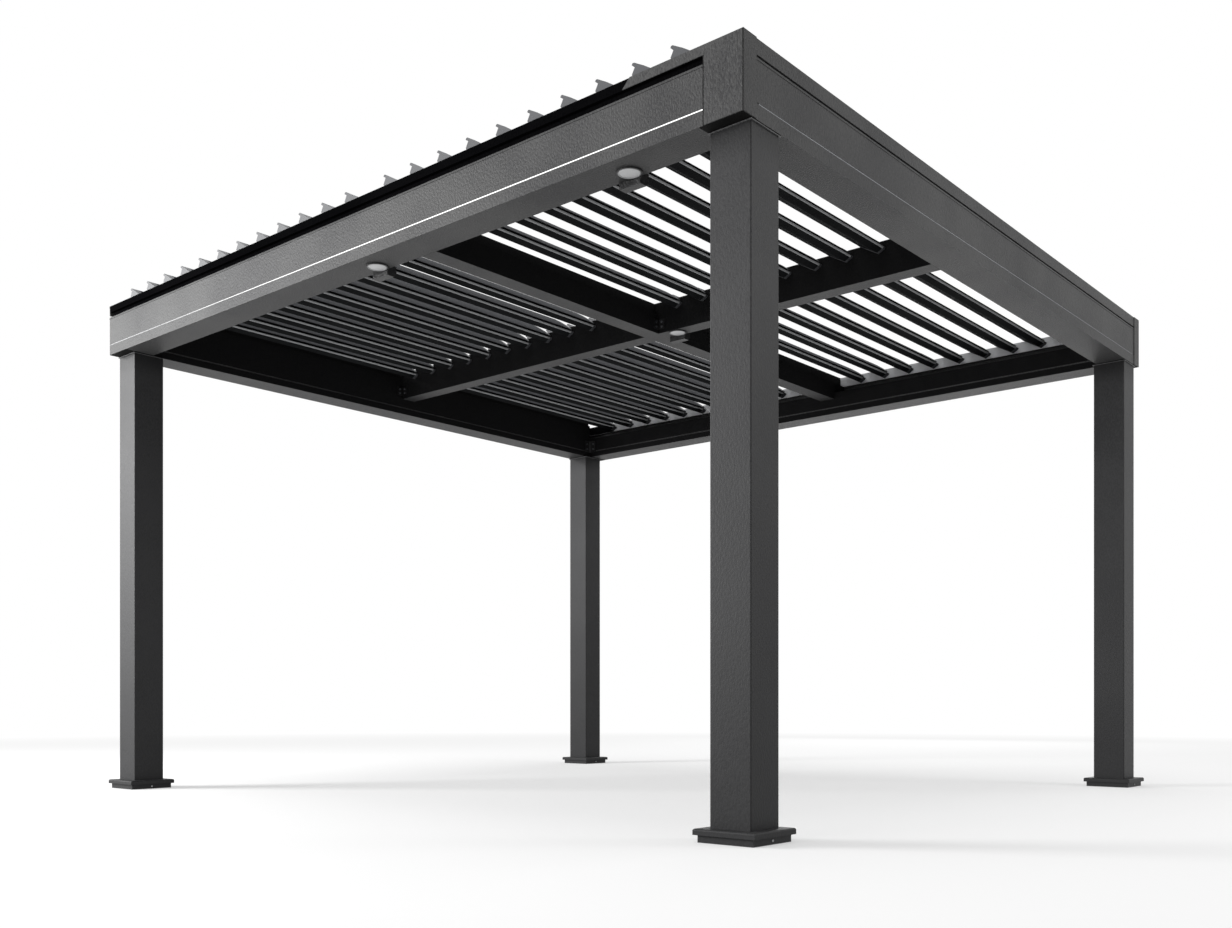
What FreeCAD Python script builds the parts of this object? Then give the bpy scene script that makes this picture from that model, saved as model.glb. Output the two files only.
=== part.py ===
import FreeCAD, Part
import math
import os
import re
import Sketcher

# Louvred pergola of extruded aluminium, free standing on four posts.
# X runs along the long side, Y along the short side, Z up, and the origin
# is on the ground in the middle. The front is the side at -Y.

doc = FreeCAD.newDocument("louvred_pergola")
sheet = doc.addObject("Spreadsheet::Sheet", "sizes")

# Driving sizes, in millimetres, degrees and counts
SIZES = {
    "roof_length": 3950,
    "roof_width": 3690,
    "underside_level": 2230,
    "fascia_height": 250,
    "beam_depth": 150,
    "beam_wall": 3,
    "rail_height": 58,
    "long_slot_height": 26,
    "long_slot_depth": 14,
    "short_slot_height": 8,
    "short_slot_depth": 8,
    "rail_depth": 24,
    "floor_rise": 66,
    "low_wall_rise": 130,
    "left_wall_rise": 225,
    "right_wall_rise": 195,
    "light_groove_rise": 49,
    "light_groove_height": 4,
    "light_groove_depth": 6,
    "plain_groove_depth": 1.5,
    "ledge_rise": 34,
    "ledge_height": 8,
    "ledge_depth": 3,
    "post_side": 156,
    "post_wall": 3,
    "post_corner": 4,
    "end_inset": 5,
    "side_inset": 50,
    "collar_side": 166,
    "collar_plate": 3,
    "neck_side": 144,
    "neck_height": 4,
    "plinth_side": 211,
    "plinth_height": 24,
    "lip_side": 234,
    "lip_height": 20,
    "lip_round": 7,
    "skirt_gap": 0.3,
    "foot_plate_side": 196,
    "foot_plate_thickness": 10,
    "foot_plate_gap": 2,
    "cover_thickness": 3.5,
    "cover_front_leg": 149,
    "cover_side_leg": 72,
    "cover_strip_height": 32,
    "cover_strip_run": 300,
    "cover_seam": 2,
    "end_lip_width": 120,
    "end_lip_height": 10,
    "centre_beam_width": 90,
    "cross_beam_width": 92,
    "inner_beam_rise": 92,
    "inner_beam_wall": 3,
    "cross_beam_step_width": 26,
    "cross_beam_step_drop": 60,
    "lines_left": 12,
    "lines_right": 10,
    "pivot_drop": 15,
    "rest_tilt": 30,
    "blade_end_gap": 6,
    "blade_rise": 20,
    "blade_edge_gap": 8,
    "blade_lap": 18,
    "blade_lip_reach": 17.5,
    "blade_trough_width": 19,
    "blade_trough_floor": 16,
    "blade_trough_rim": 1,
    "blade_hopper_drop": 8,
    "blade_hopper_run": 16,
    "blade_hopper_foot": 7,
    "blade_lip_top": 14,
    "blade_nose": 17,
    "blade_nose_run": 6,
    "blade_ridge": 17,
    "blade_ridge_run": 36,
    "blade_crown": 14,
    "blade_crown_run": 96,
    "blade_shoulder": 9,
    "blade_belly": 34,
    "blade_keel_run": 30,
    "blade_keel_drop": 20,
    "blade_skin": 2,
    "blade_cap": 4,
    "weep_width": 10,
    "weep_height": 2,
    "pin_radius": 5,
    "pin_gap": 0.3,
    "pin_overrun": 5,
    "pin_sides": 8,
    "strip_gap": 0.3,
    "spot_radius": 46,
    "spot_height": 6,
    "spot_lens_radius": 38,
    "spot_lens_recess": 3,
    "spot_sides": 20,
    "spot_housing_width": 92,
    "spot_housing_depth": 40,
    "spot_housing_drop": 26,
    "spot_housing_rise": 18,
    "spot_housing_round": 12,
    "spot_setback": 4,
    "spot_drum_shift": 35,
    "spot_near": 1439,
    "spot_middle": 89,
    "spot_inner": 300,
    "cleat_leg": 40,
    "cleat_height": 50,
    "cleat_rise": 20,
    "cleat_thickness": 4,
}
for row, (alias, size) in enumerate(SIZES.items(), start=1):
    sheet.set(f"A{row}", alias)
    sheet.set(f"B{row}", str(size))
    sheet.setAlias(f"B{row}", alias)
doc.recompute()


def bound(text):
    """Turn plain size names in an expression into cells of the sheet."""
    return re.sub(r"\b(?!sqrt\b)[a-z][a-z_]+\b", r"sizes.\g<0>", f"({text})")


def number(text):
    return float(sheet.evalExpression(bound(text)))


# Sizes worked out from the driving ones, as expressions
HALF_LENGTH = "(roof_length / 2 - cover_thickness)"
HALF_WIDTH = "(roof_width / 2 - cover_thickness)"
TOP = "(underside_level + fascia_height)"
PANEL_TOP = f"({TOP} - rail_height)"
INNER_X = f"({HALF_LENGTH} - beam_depth)"
INNER_Y = f"({HALF_WIDTH} - beam_depth)"
PITCH = f"((2 * {INNER_X} - cross_beam_width) / (lines_left + lines_right))"
CROSS_LEFT = f"(lines_left * {PITCH} - {INNER_X})"
CROSS_RIGHT = f"({CROSS_LEFT} + cross_beam_width)"
PIVOT_LEVEL = f"({TOP} - pivot_drop)"
RAIL_INNER_Y = f"({HALF_WIDTH} - rail_depth)"
BLADE_OUT = f"({RAIL_INNER_Y} - blade_end_gap)"
BLADE_IN = "(centre_beam_width / 2 + blade_end_gap)"
PIN_END = f"({RAIL_INNER_Y} + beam_wall + pin_overrun)"
POST_X = f"({HALF_LENGTH} - end_inset - post_side / 2)"
POST_Y = f"({HALF_WIDTH} - side_inset - post_side / 2)"
COLLAR_LEVEL = "(underside_level - neck_height - collar_plate)"


def new_body(label):
    body = doc.addObject("PartDesign::Body", label)
    body.Label = label
    return body


def sketch_on(body, name, role, offset="0"):
    """A sketch on one of the body's own origin planes, moved along its normal."""
    sketch = body.newObject("Sketcher::SketchObject", f"{body.Label}_{name}")
    plane = [item for item in body.Origin.OriginFeatures if item.Role == role][0]
    sketch.AttachmentSupport = [(plane, "")]
    sketch.MapMode = "FlatFace"
    sketch.setExpression("AttachmentOffset.Base.z", bound(offset))
    return sketch


def fix_point(sketch, piece, end, across, up):
    """Tie one point of a sketch to a pair of expressions."""
    for kind, text in (("DistanceX", across), ("DistanceY", up)):
        rule = sketch.addConstraint(Sketcher.Constraint(kind, piece, end, number(text)))
        sketch.setExpression(f"Constraints[{rule}]", bound(text))


def draw_outline(sketch, corners):
    """Draw a closed outline of straight edges through the corners."""
    points = [FreeCAD.Vector(number(across), number(up), 0) for across, up in corners]
    first = sketch.GeometryCount
    count = len(points)
    for place in range(count):
        edge = Part.LineSegment(points[place], points[(place + 1) % count])
        sketch.addGeometry(edge, False)
    for place in range(count):
        after = first + (place + 1) % count
        sketch.addConstraint(Sketcher.Constraint("Coincident", first + place, 2, after, 1))
    for place, (across, up) in enumerate(corners):
        fix_point(sketch, first + place, 1, across, up)


def draw_rectangle(sketch, low_x, low_y, high_x, high_y):
    draw_outline(sketch, [(low_x, low_y), (high_x, low_y), (high_x, high_y), (low_x, high_y)])


def draw_square(sketch, side):
    draw_rectangle(sketch, f"-{side} / 2", f"-{side} / 2", f"{side} / 2", f"{side} / 2")


def draw_bush_hole(sketch, across, up):
    """A square punched hole, in which a plastic bush for one pin snaps."""
    half = "(pin_radius + pin_gap)"
    draw_rectangle(
        sketch,
        f"{across} - {half}",
        f"{up} - {half}",
        f"{across} + {half}",
        f"{up} + {half}",
    )


def draw_prism(sketch, up, radius, sides):
    """A regular outline of some sides, flat at the top, around a point above the origin."""
    count = int(number(sides))
    step = 2 * math.pi / count
    angles = [step * (place + 0.5) for place in range(count)]
    draw_outline(sketch, [
        (f"{math.cos(angle):.6f} * {radius}", f"({up} + {math.sin(angle):.6f} * {radius})") for angle in angles
    ])


def draw_circle(sketch, across, up, radius):
    centre = FreeCAD.Vector(number(across), number(up), 0)
    axis = FreeCAD.Vector(0, 0, 1)
    piece = sketch.addGeometry(Part.Circle(centre, axis, number(radius)), False)
    rule = sketch.addConstraint(Sketcher.Constraint("Radius", piece, number(radius)))
    sketch.setExpression(f"Constraints[{rule}]", bound(radius))
    fix_point(sketch, piece, 3, across, up)


def pad(body, sketch, length, side="One side", backwards=False):
    feature = body.newObject("PartDesign::Pad", f"{sketch.Name}_pad")
    feature.Profile = sketch
    feature.setExpression("Length", bound(length))
    feature.SideType = side
    feature.Reversed = backwards
    return feature


def pocket(body, sketch, length=None, side="One side", backwards=False):
    """Cut a sketch out of the body, right through it where no length is given."""
    doc.recompute()
    before = body.Shape.Volume
    feature = body.newObject("PartDesign::Pocket", f"{sketch.Name}_cut")
    feature.Profile = sketch
    feature.SideType = side
    feature.Reversed = backwards
    if length is None:
        feature.Type = "ThroughAll"
    else:
        feature.setExpression("Length", bound(length))
    doc.recompute()
    if body.Shape.Volume > before - 1:
        raise ValueError(f"{feature.Name} cuts nothing")
    return feature


def place(body, x="0", y="0", z="0", turn=0):
    """Set the body's place from expressions, turned about Z by quarter turns."""
    body.Placement = FreeCAD.Placement(
        FreeCAD.Vector(0, 0, 0), FreeCAD.Rotation(FreeCAD.Vector(0, 0, 1), turn)
    )
    for axis, text in (("x", x), ("y", y), ("z", z)):
        body.setExpression(f"Placement.Base.{axis}", bound(text))
    return body


# Perimeter beams: hollow extrusions with an open gutter on top, mitred at the
# corners. Across the profile, 0 is the fascia and beam_depth the inner face.
def draw_beam_profile(sketch, inner_rise, groove_depth):
    """One closed outline: fascia, hollow chamber split off by the gutter floor."""
    low = "underside_level"
    groove_low = "(underside_level + light_groove_rise)"
    groove_high = "(underside_level + light_groove_rise + light_groove_height)"
    groove_back = f"({groove_depth} + beam_wall)"
    ledge_low = "(underside_level + ledge_rise)"
    ledge_high = "(underside_level + ledge_rise + ledge_height)"
    inner_top = f"(underside_level + {inner_rise})"
    floor_top = "(underside_level + floor_rise)"
    floor_low = "(underside_level + floor_rise - beam_wall)"
    draw_outline(sketch, [
        ("0", low),
        ("0", groove_low),
        (groove_depth, groove_low),
        (groove_depth, groove_high),
        ("0", groove_high),
        ("0", PANEL_TOP),
        ("rail_depth", PANEL_TOP),
        ("rail_depth", f"({PANEL_TOP} - beam_wall)"),
        ("beam_wall", f"({PANEL_TOP} - beam_wall)"),
        ("beam_wall", floor_top),
        ("(beam_depth - beam_wall)", floor_top),
        ("(beam_depth - beam_wall)", inner_top),
        ("beam_depth", inner_top),
        ("beam_depth", ledge_high),
        ("(beam_depth - ledge_depth)", ledge_high),
        ("(beam_depth - ledge_depth)", ledge_low),
        ("beam_depth", ledge_low),
        ("beam_depth", low),
    ])
    draw_outline(sketch, [
        ("beam_wall", f"({low} + beam_wall)"),
        ("(beam_depth - beam_wall)", f"({low} + beam_wall)"),
        ("(beam_depth - beam_wall)", f"({ledge_low} - beam_wall)"),
        ("(beam_depth - ledge_depth - beam_wall)", f"({ledge_low} - beam_wall)"),
        ("(beam_depth - ledge_depth - beam_wall)", floor_low),
        (groove_back, floor_low),
        (groove_back, f"({groove_low} - beam_wall)"),
        ("beam_wall", f"({groove_low} - beam_wall)"),
    ])


def mitre_ends(body, half_run):
    """Cut both ends at 45 degrees, so that the inner face is the shorter one."""
    reach = "(beam_depth + 10)"
    cut = sketch_on(body, "mitre", "XY_Plane")
    for sign in ("", "-"):
        draw_outline(cut, [
            (f"{sign}{half_run}", "0"),
            (f"{sign}({half_run} + 10)", "0"),
            (f"{sign}({half_run} + 10)", reach),
            (f"{sign}({half_run} - {reach})", reach),
        ])
    pocket(body, cut, side="Symmetric")


SIDES = {
    "front": dict(half_run=HALF_LENGTH, y=f"-{HALF_WIDTH}", turn=0, inner_rise="low_wall_rise"),
    "back": dict(half_run=HALF_LENGTH, y=HALF_WIDTH, turn=180, inner_rise="low_wall_rise"),
    "right": dict(half_run=HALF_WIDTH, x=HALF_LENGTH, turn=90, inner_rise="right_wall_rise"),
    "left": dict(half_run=HALF_WIDTH, x=f"-{HALF_LENGTH}", turn=-90, inner_rise="left_wall_rise"),
}


def place_on_side(body, side):
    spot = SIDES[side]
    return place(body, spot.get("x", "0"), spot.get("y", "0"), "0", spot["turn"])


def make_beam(side):
    body = new_body(f"{side}_beam")
    profile = sketch_on(body, "profile", "YZ_Plane")
    draw_beam_profile(
        profile,
        SIDES[side]["inner_rise"],
        "light_groove_depth" if side == "front" else "plain_groove_depth",
    )
    half_run = SIDES[side]["half_run"]
    pad(body, profile, f"2 * {half_run}", "Symmetric")
    mitre_ends(body, half_run)
    return place_on_side(body, side)


# Rails: the extrusions that close the top of each fascia above a shadow slot.
# On the long sides they also carry the outer pins of the blades.
def make_rail(side):
    body = new_body(f"{side}_rail")
    along_x = side in ("front", "back")
    slot_height = "long_slot_height" if along_x else "short_slot_height"
    slot_depth = "long_slot_depth" if along_x else "short_slot_depth"
    slot_top = f"({PANEL_TOP} + {slot_height})"
    inner = "(rail_depth - beam_wall)"
    profile = sketch_on(body, "profile", "YZ_Plane")
    draw_outline(profile, [
        (slot_depth, PANEL_TOP),
        (slot_depth, slot_top),
        ("0", slot_top),
        ("0", TOP),
        ("rail_depth", TOP),
        ("rail_depth", PANEL_TOP),
    ])
    draw_outline(profile, [
        (f"({slot_depth} + beam_wall)", f"({PANEL_TOP} + beam_wall)"),
        (inner, f"({PANEL_TOP} + beam_wall)"),
        (inner, f"({TOP} - beam_wall)"),
        ("beam_wall", f"({TOP} - beam_wall)"),
        ("beam_wall", f"({slot_top} + beam_wall)"),
        (f"({slot_depth} + beam_wall)", f"({slot_top} + beam_wall)"),
    ])
    half_run = SIDES[side]["half_run"]
    pad(body, profile, f"2 * {half_run}", "Symmetric")
    mitre_ends(body, half_run)
    if along_x:
        holes = sketch_on(body, "pin_holes", "XZ_Plane", "-rail_depth - 1")
        mirror = "-" if side == "back" else ""
        for line in range(1, LINES + 1):
            draw_bush_hole(holes, f"{mirror}{pivot_x(line)}", PIVOT_LEVEL)
        pocket(body, holes, "beam_wall + 2", backwards=True)
    return place_on_side(body, side)


LINES = int(number("lines_left + lines_right"))


def pivot_x(line):
    """Where the pivot of one blade line lies, counted from the left from 1."""
    if line <= number("lines_left"):
        return f"(({line} - 0.5) * {PITCH} - {INNER_X})"
    return f"(({line} - 0.5) * {PITCH} - {INNER_X} + cross_beam_width)"


# Centre beam: a box section under the inner ends of all blades, with a row of
# pin holes through both of its side walls.
def make_centre_beam():
    body = new_body("centre_beam")
    low = f"(underside_level + inner_beam_rise)"
    profile = sketch_on(body, "profile", "YZ_Plane")
    draw_rectangle(profile, "-centre_beam_width / 2", low, "centre_beam_width / 2", TOP)
    draw_rectangle(
        profile,
        "-centre_beam_width / 2 + inner_beam_wall",
        f"{low} + inner_beam_wall",
        "centre_beam_width / 2 - inner_beam_wall",
        f"{TOP} - inner_beam_wall",
    )
    pad(body, profile, f"2 * {INNER_X}", "Symmetric")
    holes = sketch_on(body, "pin_holes", "XZ_Plane")
    for line in range(1, LINES + 1):
        draw_bush_hole(holes, pivot_x(line), PIVOT_LEVEL)
    pocket(body, holes, side="Symmetric")
    return place(body)


# Cross beams: box sections parallel to the blades that part the roof in two
# fields. The top is stepped so that the first blade beside it can lap over.
def make_cross_beam(side):
    body = new_body(f"cross_beam_{side}")
    low = "(underside_level + inner_beam_rise)"
    step_top = f"({TOP} - cross_beam_step_drop)"
    step_at = f"({CROSS_RIGHT} - cross_beam_step_width)"
    wall = "inner_beam_wall"
    profile = sketch_on(body, "profile", "XZ_Plane")
    draw_outline(profile, [
        (CROSS_LEFT, low),
        (CROSS_RIGHT, low),
        (CROSS_RIGHT, step_top),
        (step_at, step_top),
        (step_at, TOP),
        (CROSS_LEFT, TOP),
    ])
    draw_outline(profile, [
        (f"({CROSS_LEFT} + {wall})", f"({low} + {wall})"),
        (f"({CROSS_RIGHT} - {wall})", f"({low} + {wall})"),
        (f"({CROSS_RIGHT} - {wall})", f"({step_top} - {wall})"),
        (f"({step_at} - {wall})", f"({step_top} - {wall})"),
        (f"({step_at} - {wall})", f"({TOP} - {wall})"),
        (f"({CROSS_LEFT} + {wall})", f"({TOP} - {wall})"),
    ])
    reach = f"{RAIL_INNER_Y} - centre_beam_width / 2"
    pad(body, profile, reach, backwards=side == "back")
    cope = sketch_on(body, "cope", "YZ_Plane")
    cope_low = f"({low} - 1)"
    cope_top = "(underside_level + low_wall_rise + strip_gap)"
    inner = f"({INNER_Y} - centre_beam_width / 2)"
    outer = f"({RAIL_INNER_Y} - centre_beam_width / 2 + 1)"
    if side == "front":
        draw_rectangle(cope, f"-{outer}", cope_low, f"-{inner}", cope_top)
    else:
        draw_rectangle(cope, inner, cope_low, outer, cope_top)
    pocket(body, cope, side="Symmetric")
    sign = "-" if side == "front" else ""
    return place(body, y=f"{sign}centre_beam_width / 2")


# Posts: square hollow extrusions welded on a foot plate.
CORNERS = {
    "front_right": ("", "-"),
    "front_left": ("-", "-"),
    "back_left": ("-", ""),
    "back_right": ("", ""),
}


def make_post(corner):
    body = new_body(f"{corner}_post")
    foot = sketch_on(body, "foot", "XY_Plane")
    draw_square(foot, "foot_plate_side")
    pad(body, foot, "foot_plate_thickness")
    tube = sketch_on(body, "tube", "XY_Plane", "foot_plate_thickness")
    draw_square(tube, "post_side")
    tube_pad = pad(body, tube, f"{COLLAR_LEVEL} - foot_plate_thickness")
    doc.recompute()
    edges = []
    for index, edge in enumerate(tube_pad.Shape.Edges, start=1):
        box = edge.BoundBox
        upright = box.ZLength > number("foot_plate_thickness") * 2
        if upright:
            edges.append(f"Edge{index}")
    rounding = body.newObject("PartDesign::Fillet", f"{corner}_rounding")
    rounding.Base = (tube_pad, edges)
    rounding.setExpression("Radius", bound("post_corner"))
    bore = sketch_on(body, "bore", "XY_Plane", "-1")
    draw_square(bore, "(post_side - 2 * post_wall)")
    pocket(body, bore, backwards=True)
    sign_x, sign_y = CORNERS[corner]
    return place(body, f"{sign_x}{POST_X}", f"{sign_y}{POST_Y}")


def make_at_corners(label, build):
    """One node of four like solids, one at each post."""
    pieces = []
    for corner, (sign_x, sign_y) in CORNERS.items():
        body = new_body(f"{label}_{corner}")
        build(body)
        pieces.append(place(body, f"{sign_x}{POST_X}", f"{sign_y}{POST_Y}"))
    return gather(label, pieces)


def gather(label, pieces):
    """Collect solids that do not touch in one node."""
    group = doc.addObject("Part::Compound", label)
    group.Label = label
    group.Links = pieces
    return group


# Post collars: a thin square plate on each post with a smaller neck above it,
# which leaves a dark shadow gap under the beam.
def build_collar(body):
    plate = sketch_on(body, "plate", "XY_Plane", COLLAR_LEVEL)
    draw_square(plate, "collar_side")
    pad(body, plate, "collar_plate")
    neck = sketch_on(body, "neck", "XY_Plane", f"{COLLAR_LEVEL} + collar_plate")
    draw_square(neck, "neck_side")
    pad(body, neck, "neck_height")


# Base skirts: a plinth with a wider rounded lip, pushed over each post to hide
# the foot plate and its anchor bolts.
def build_skirt(body):
    plinth = sketch_on(body, "plinth", "XY_Plane")
    draw_square(plinth, "plinth_side")
    pad(body, plinth, "plinth_height")
    lip = sketch_on(body, "lip", "XY_Plane", "plinth_height")
    draw_square(lip, "lip_side")
    lip_pad = pad(body, lip, "lip_height")
    doc.recompute()
    top = number("plinth_height + lip_height")
    edges = []
    for index, edge in enumerate(lip_pad.Shape.Edges, start=1):
        if edge.BoundBox.ZMin > top - 1:
            edges.append(f"Edge{index}")
    rounding = body.newObject("PartDesign::Fillet", f"{body.Label}_rounding")
    rounding.Base = (lip_pad, edges)
    rounding.setExpression("Radius", bound("lip_round"))
    doc.recompute()
    around = sketch_on(body, "around_post", "XY_Plane", "-1")
    draw_square(around, "(post_side + 2 * skirt_gap)")
    pocket(body, around, backwards=True)
    under = sketch_on(body, "over_foot", "XY_Plane", "-1")
    draw_square(under, "(foot_plate_side + 2 * foot_plate_gap)")
    pocket(body, under, "foot_plate_thickness + foot_plate_gap + 1", backwards=True)


# Corner covers: bent sheet over the mitre at each right-hand corner, with a
# narrow strip that runs on along the rail and ends in a slanting cut.
def build_cover(body):
    low = "underside_level"
    plan = sketch_on(body, "plan", "XY_Plane", low)
    side_end = "cover_side_leg"
    front_end = "-cover_front_leg"
    thick = "cover_thickness"
    draw_outline(plan, [
        ("0", "0"),
        ("0", side_end),
        (f"-{thick}", side_end),
        (f"-{thick}", thick),
        (front_end, thick),
        (front_end, "0"),
    ])
    pad(body, plan, "fascia_height")
    strip = sketch_on(body, "strip", "XZ_Plane", f"-{thick}")
    strip_low = f"({TOP} - cover_strip_height)"
    strip_end = "-(cover_front_leg + cover_strip_run)"
    draw_outline(strip, [
        (front_end, strip_low),
        (front_end, TOP),
        (strip_end, TOP),
        (f"({strip_end} - cover_strip_height)", strip_low),
    ])
    pad(body, strip, thick)


def make_corner_covers():
    front = new_body("corner_cover_front")
    build_cover(front)
    place(front, "roof_length / 2", "-roof_width / 2")
    back = doc.addObject("Part::Mirroring", "corner_cover_back")
    back.Source = front
    back.Normal = FreeCAD.Vector(0, 1, 0)
    return gather("corner_covers", [front, back])


# End lips: thin flats at the left-hand corners that lap over the mitres.
def make_end_lips():
    pieces = []
    for place_name, sign in (("front", "-"), ("back", "")):
        for level_name, level in (("low", f"{PANEL_TOP} - end_lip_height"), ("top", f"{TOP} - end_lip_height")):
            body = new_body(f"end_lip_{place_name}_{level_name}")
            flat = sketch_on(body, "flat", "XY_Plane", level)
            draw_rectangle(flat, "0", "0", "cover_thickness", "end_lip_width")
            pad(body, flat, "end_lip_height")
            start = f"-{HALF_WIDTH}" if sign == "-" else f"{HALF_WIDTH} - end_lip_width"
            pieces.append(place(body, "-roof_length / 2", start))
    return gather("end_lips", pieces)


# Light strip: a diffuser pressed in the groove of the front fascia.
def make_light_strip():
    body = new_body("light_strip")
    low = "(underside_level + light_groove_rise + strip_gap)"
    high = "(underside_level + light_groove_rise + light_groove_height - strip_gap)"
    start = f"(light_groove_depth + cover_seam - {HALF_LENGTH})"
    profile = sketch_on(body, "profile", "YZ_Plane", start)
    draw_rectangle(profile, "0", low, "light_groove_depth", high)
    run = f"{HALF_LENGTH} - cover_front_leg + cover_thickness - cover_seam - {start}"
    pad(body, profile, run)
    return place(body, y=f"-{HALF_WIDTH}")


# Spot lights: a flat puck with a recessed lens and, behind it, the drum of its
# driver. Two hang on the front beam's inner edge, one under the centre beam.
def make_spot(name, x, edge, level):
    body = new_body(f"spot_{name}_light")
    back = "(spot_radius + spot_setback)"
    puck = sketch_on(body, "puck", "XY_Plane")
    draw_prism(puck, f"-{back}", "spot_radius", "spot_sides")
    pad(body, puck, "spot_height", backwards=True)
    lens = sketch_on(body, "lens", "XY_Plane", "-spot_height")
    draw_prism(lens, f"-{back}", "spot_lens_radius", "spot_sides")
    pocket(body, lens, "spot_lens_recess", backwards=True)
    drum = sketch_on(body, "drum", "YZ_Plane", "-spot_drum_shift")
    draw_outline(drum, [
        ("-2 * spot_setback", "-spot_housing_drop"),
        ("(spot_housing_depth - spot_housing_round)", "-spot_housing_drop"),
        ("spot_housing_depth", "(spot_housing_round - spot_housing_drop)"),
        ("spot_housing_depth", "spot_housing_rise"),
        ("0", "spot_housing_rise"),
        ("0", "0"),
        ("-2 * spot_setback", "0"),
    ])
    pad(body, drum, "spot_housing_width", "Symmetric")
    return place(body, x, edge, level)


def make_spots():
    centre_level = "(underside_level + inner_beam_rise)"
    return gather("spot_lights", [
        make_spot("near", "spot_near", f"-{INNER_Y}", "underside_level"),
        make_spot("middle", "spot_middle", f"-{INNER_Y}", "underside_level"),
        make_spot("inner", "spot_inner", "centre_beam_width / 2", centre_level),
    ])


# Beam cleats: angle brackets that hang the centre beam on the side beams and
# the cross beams on the centre beam and the long beams.
def make_cleats():
    low = "(underside_level + inner_beam_rise + cleat_rise)"
    half_centre = "centre_beam_width / 2"
    seats = [
        (INNER_X, half_centre, "-", ""),
        (INNER_X, f"-{half_centre}", "-", "-"),
        (f"-{INNER_X}", half_centre, "", ""),
        (f"-{INNER_X}", f"-{half_centre}", "", "-"),
        (CROSS_LEFT, f"-{half_centre}", "-", "-"),
        (CROSS_RIGHT, f"-{half_centre}", "", "-"),
        (CROSS_LEFT, half_centre, "-", ""),
        (CROSS_RIGHT, half_centre, "", ""),
    ]
    pieces = []
    for count, (x, y, sign_x, sign_y) in enumerate(seats, start=1):
        body = new_body(f"cleat_{count}")
        plan = sketch_on(body, "plan", "XY_Plane", low)
        leg = "cleat_leg"
        thick = "cleat_thickness"
        draw_outline(plan, [
            ("0", "0"),
            (f"{sign_x}{leg}", "0"),
            (f"{sign_x}{leg}", f"{sign_y}{thick}"),
            (f"{sign_x}{thick}", f"{sign_y}{thick}"),
            (f"{sign_x}{thick}", f"{sign_y}{leg}"),
            ("0", f"{sign_y}{leg}"),
        ])
        pad(body, plan, "cleat_height")
        pieces.append(place(body, x, y))
    return gather("beam_cleats", pieces)


# Louvre lines: one aerofoil blade in the front field and one in the back field,
# closed by end caps and joined by a shaft through the centre beam. The raised
# edge carries a lip that laps over the trough of the next blade.
LIP_END = f"(-{PITCH} / 2 - blade_lap)"
LIP_ROOT = f"({LIP_END} + blade_lip_reach)"
TROUGH_END = f"({PITCH} / 2 - blade_edge_gap)"
TROUGH_ROOT = f"({TROUGH_END} - blade_trough_width)"
LIP_UNDER = "(blade_rise + blade_shoulder - blade_skin)"
KEEL_START = f"({LIP_ROOT} + blade_keel_run)"
KEEL_LEVEL = "(blade_rise - blade_keel_drop)"
BELLY_LEVEL = "(blade_rise - blade_belly)"
TROUGH_LEVEL = "(blade_rise - blade_trough_floor)"
HOPPER_LEVEL = "(blade_rise - blade_hopper_drop)"
RIM_LEVEL = "(blade_rise + blade_trough_rim)"
CHAMBER_FLOOR = f"({BELLY_LEVEL} + blade_skin)"


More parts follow.
